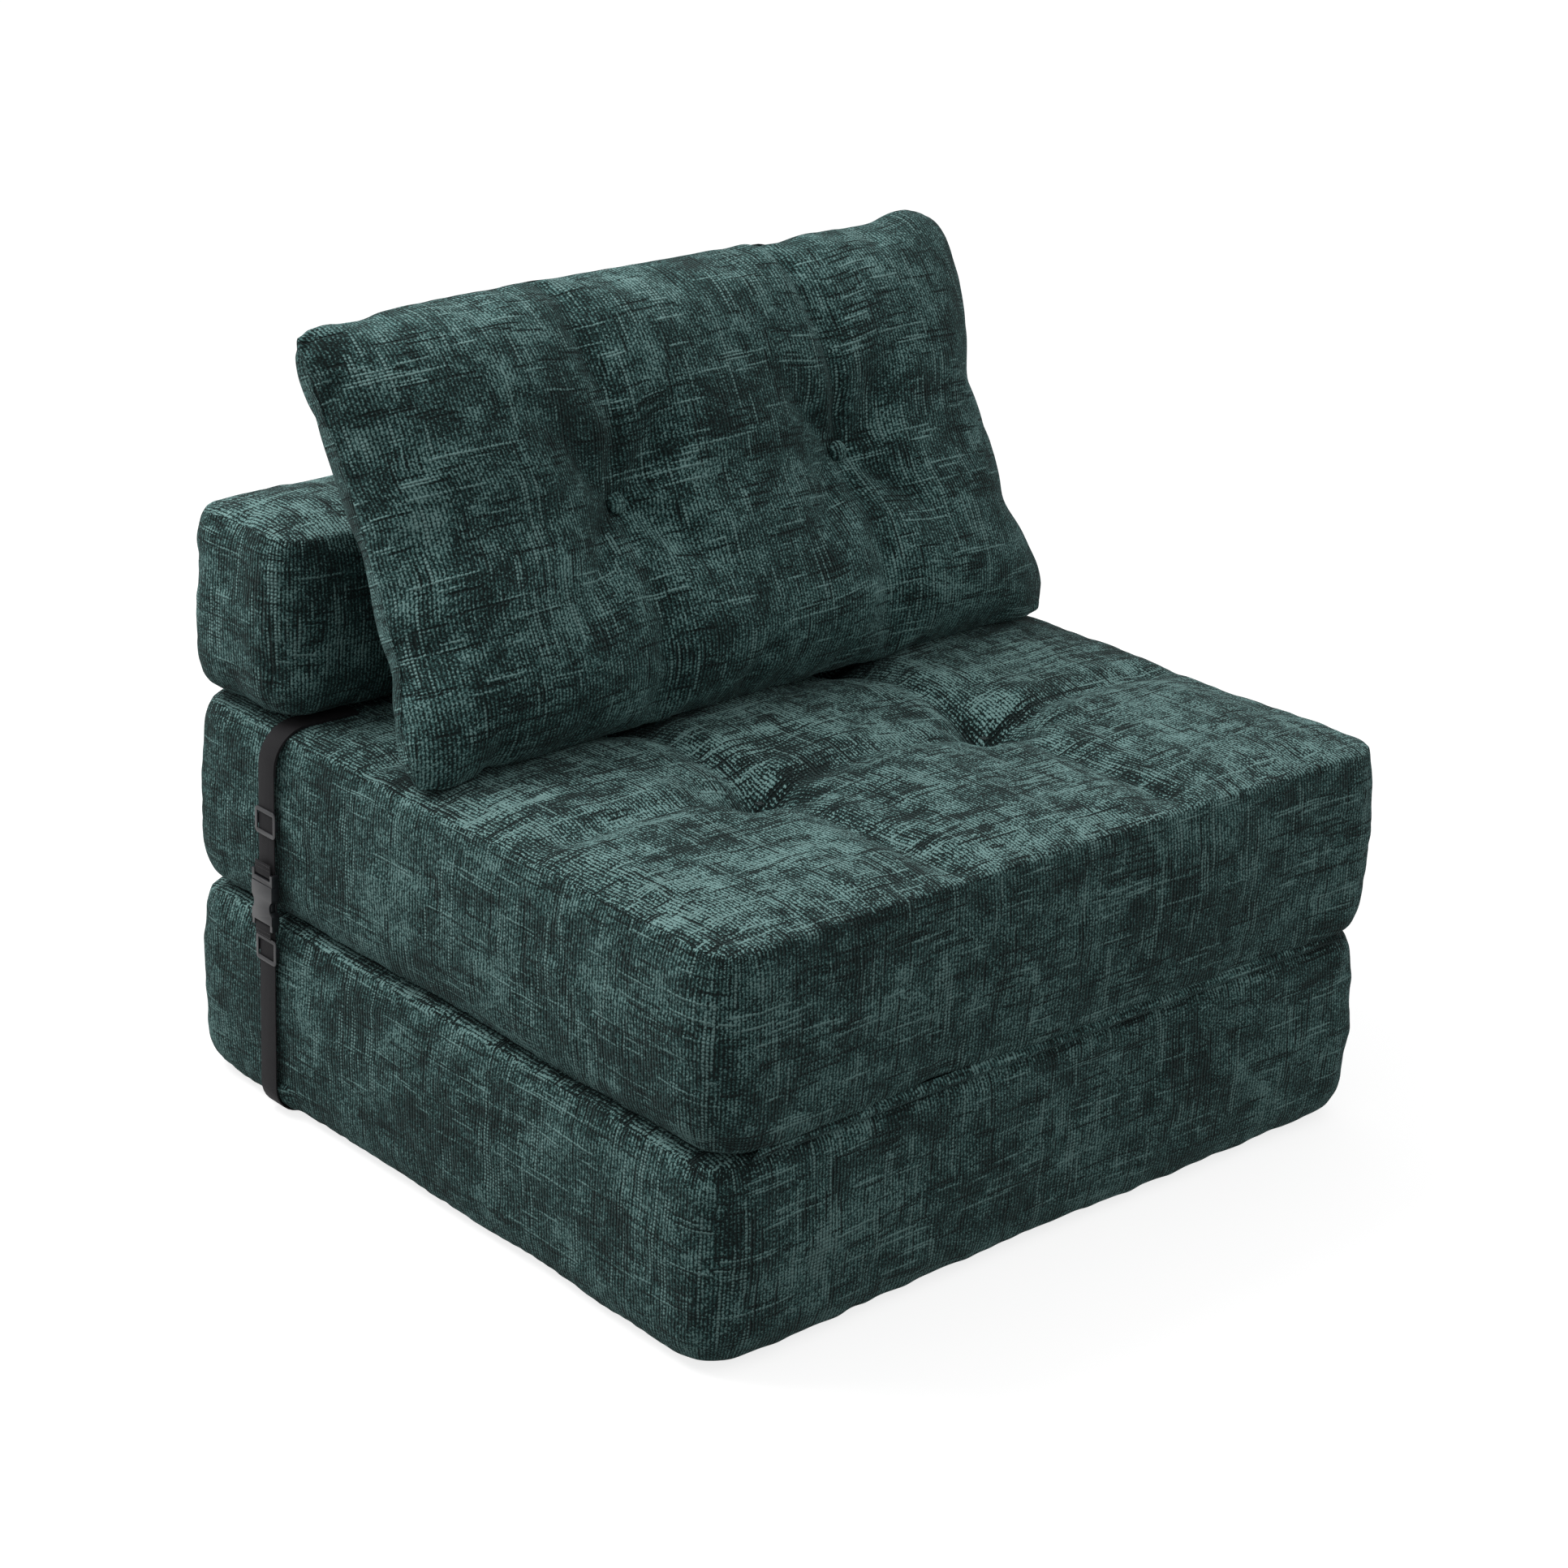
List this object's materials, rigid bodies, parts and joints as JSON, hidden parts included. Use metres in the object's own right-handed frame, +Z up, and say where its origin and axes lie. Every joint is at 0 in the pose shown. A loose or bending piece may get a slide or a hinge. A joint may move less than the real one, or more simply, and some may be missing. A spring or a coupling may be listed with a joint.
{
  "type": "sofa bed",
  "caption": "Folding floor sofa bed in dark teal chenille: stacked base, seat and bolster with a buttoned back pillow and buckled straps.",
  "frame": {"origin": "on the floor below the middle of the sofa's box", "axes": "+X to the right of someone who faces the sofa, +Y to the back, +Z up"},
  "size_m": [0.8782, 0.792, 0.7812],
  "materials": {
    "chenille": "soft chenille with slubs, dark teal green",
    "foam": "matt open foam",
    "filling": "soft fibre",
    "webbing": "flat woven webbing",
    "plastic": "satin moulded plastic",
    "zip_tape": "nylon coil and tape",
    "zip_metal": "black enamel",
    "thread": "waxed thread"
  },
  "bodies": {
    "base": {"base_cover": "chenille", "base_foam": "foam", "base_zip": "zip_tape", "front_hinge_strip": "chenille", "left_lower_strap": "webbing", "right_lower_strap": "webbing", "left_buckle_socket": "plastic", "right_buckle_socket": "plastic"},
    "seat": {"seat_cover": "chenille", "seat_foam": "foam", "seat_tuft_stitches": "thread", "seat_zip": "zip_tape", "left_upper_strap": "webbing", "right_upper_strap": "webbing", "left_buckle_plug": "plastic", "right_buckle_plug": "plastic", "rear_hinge_strip": "chenille"},
    "bolster": {"bolster_cover": "chenille", "bolster_foam": "foam", "bolster_zip": "zip_tape"},
    "pillow": {"pillow_cover": "chenille", "pillow_filling": "filling", "pillow_front_buttons": "chenille", "pillow_back_buttons": "chenille", "pillow_tuft_cords": "thread", "pillow_zip": "zip_tape"},
    "left_upper_adjuster": {"left_upper_adjuster": "plastic"},
    "left_lower_adjuster": {"left_lower_adjuster": "plastic"},
    "left_plug_front_arm": {"left_plug_front_arm": "plastic"},
    "left_plug_rear_arm": {"left_plug_rear_arm": "plastic"},
    "right_upper_adjuster": {"right_upper_adjuster": "plastic"},
    "right_lower_adjuster": {"right_lower_adjuster": "plastic"},
    "right_plug_front_arm": {"right_plug_front_arm": "plastic"},
    "right_plug_rear_arm": {"right_plug_rear_arm": "plastic"},
    "base_zip_slider": {"base_zip_slider": "zip_metal"},
    "seat_zip_slider": {"seat_zip_slider": "zip_metal"},
    "bolster_zip_slider": {"bolster_zip_slider": "zip_metal"},
    "pillow_zip_slider": {"pillow_zip_slider": "zip_metal"}
  },
  "joints": [
    {"name": "seat_hinge", "type": "hinge", "parent": "base", "child": "seat", "pos_m": [0, -0.3965, 0.20215], "axis": [1, 0, 0], "range_deg": [0, 180], "deforming": ["front_hinge_strip"]},
    {"name": "bolster_hinge", "type": "hinge", "parent": "seat", "child": "bolster", "pos_m": [0, 0.3965, 0.3969], "axis": [-1, 0, 0], "range_deg": [0, 180], "deforming": ["rear_hinge_strip"]},
    {"name": "pillow_lift", "type": "slide", "parent": "seat", "child": "pillow", "axis": [0, 0, 1], "range_m": [0, 0.5]},
    {"name": "left_upper_adjuster_slide", "type": "slide", "parent": "seat", "child": "left_upper_adjuster", "axis": [0, 0, 1], "range_m": [-0.028, 0.03]},
    {"name": "left_lower_adjuster_slide", "type": "slide", "parent": "base", "child": "left_lower_adjuster", "axis": [0, 0, 1], "range_m": [-0.09, 0.008]},
    {"name": "left_plug_front_arm_squeeze", "type": "hinge", "parent": "seat", "child": "left_plug_front_arm", "pos_m": [-0.4347, 0.2351, 0.2437], "axis": [1, 0, 0], "range_deg": [0, 8], "stiffness_Nm_per_rad": 0.01},
    {"name": "left_plug_rear_arm_squeeze", "type": "hinge", "parent": "seat", "child": "left_plug_rear_arm", "pos_m": [-0.4347, 0.2569, 0.2437], "axis": [-1, 0, 0], "range_deg": [0, 8], "stiffness_Nm_per_rad": 0.01},
    {"name": "right_upper_adjuster_slide", "type": "slide", "parent": "seat", "child": "right_upper_adjuster", "axis": [0, 0, 1], "range_m": [-0.028, 0.03]},
    {"name": "right_lower_adjuster_slide", "type": "slide", "parent": "base", "child": "right_lower_adjuster", "axis": [0, 0, 1], "range_m": [-0.09, 0.008]},
    {"name": "right_plug_front_arm_squeeze", "type": "hinge", "parent": "seat", "child": "right_plug_front_arm", "pos_m": [0.4347, 0.2351, 0.2437], "axis": [1, 0, 0], "range_deg": [0, 8], "stiffness_Nm_per_rad": 0.01},
    {"name": "right_plug_rear_arm_squeeze", "type": "hinge", "parent": "seat", "child": "right_plug_rear_arm", "pos_m": [0.4347, 0.2569, 0.2437], "axis": [-1, 0, 0], "range_deg": [0, 8], "stiffness_Nm_per_rad": 0.01},
    {"name": "base_zip_slider_travel", "type": "slide", "parent": "base", "child": "base_zip_slider", "axis": [-1, 0, 0], "range_m": [0, 0.7]},
    {"name": "seat_zip_slider_travel", "type": "slide", "parent": "seat", "child": "seat_zip_slider", "axis": [-1, 0, 0], "range_m": [0, 0.7]},
    {"name": "bolster_zip_slider_travel", "type": "slide", "parent": "bolster", "child": "bolster_zip_slider", "axis": [-1, 0, 0], "range_m": [0, 0.7]},
    {"name": "pillow_zip_slider_travel", "type": "slide", "parent": "pillow", "child": "pillow_zip_slider", "axis": [-0.9988, -0.0489, 0], "range_m": [0, 0.36]}
  ],
  "couplings": [
    {"joint": "left_plug_rear_arm_squeeze", "follows": "left_plug_front_arm_squeeze", "ratio": 1},
    {"joint": "right_plug_rear_arm_squeeze", "follows": "right_plug_front_arm_squeeze", "ratio": 1}
  ]
}
